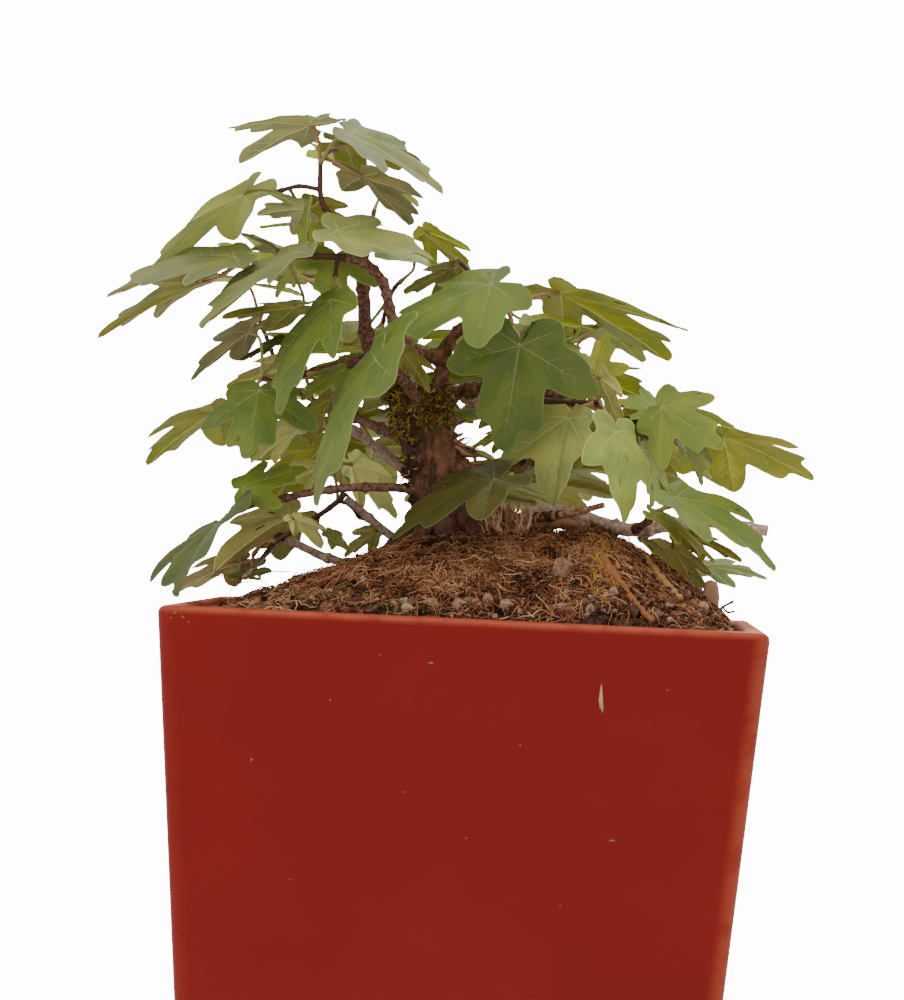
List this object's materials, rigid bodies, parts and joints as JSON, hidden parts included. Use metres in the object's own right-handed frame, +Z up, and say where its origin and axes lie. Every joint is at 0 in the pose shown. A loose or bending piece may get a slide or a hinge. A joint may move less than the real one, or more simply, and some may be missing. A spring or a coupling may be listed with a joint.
{
  "type": "bonsai tree in a pot",
  "caption": "Field maple bonsai with lobed green leaves on a short thick trunk, rooted in heaped soil in a tall tapered square pot with a red glaze.",
  "frame": {"origin": "middle of the pot's flat underside", "axes": "+Z up along the pot's axis, +X to the right in the picture, +Y away from the viewer"},
  "size_m": [0.1951, 0.1835, 0.2992],
  "materials": {
    "pot": "glossy",
    "soil": "matte",
    "trunk": "matte",
    "boughs": "matte",
    "foliage": "satin"
  },
  "bodies": {
    "root": {"pot": "pot", "soil": "soil", "trunk": "trunk", "limb_upright": "boughs", "limb_apex": "boughs", "limb_ringed": "boughs", "limb_upper_right": "boughs", "limb_knobbed": "boughs", "limb_far_right": "boughs", "limb_left": "boughs", "limb_pale": "boughs", "bough_low_left": "boughs", "bough_grey": "boughs", "bough_ground": "boughs", "bough_low_right": "boughs", "shoot_young": "boughs", "spur_right": "boughs", "spur_right_rear": "boughs", "limb_front": "boughs", "limb_front_low": "boughs", "limb_rear_top": "boughs", "limb_rear_right": "boughs", "limb_rear_left": "boughs", "limb_rear_low": "boughs", "foliage_apex": "foliage", "foliage_upper_left": "foliage", "foliage_upper_middle": "foliage", "foliage_right": "foliage", "foliage_far_right": "foliage", "foliage_right_low": "foliage", "foliage_right_rear": "foliage", "foliage_left": "foliage", "foliage_low_left": "foliage", "foliage_low_rear": "foliage", "foliage_ground": "foliage", "foliage_front": "foliage", "foliage_front_low": "foliage", "foliage_rear_top": "foliage", "foliage_rear_right": "foliage", "foliage_rear_left": "foliage", "foliage_rear_low": "foliage"}
  },
  "joints": []
}
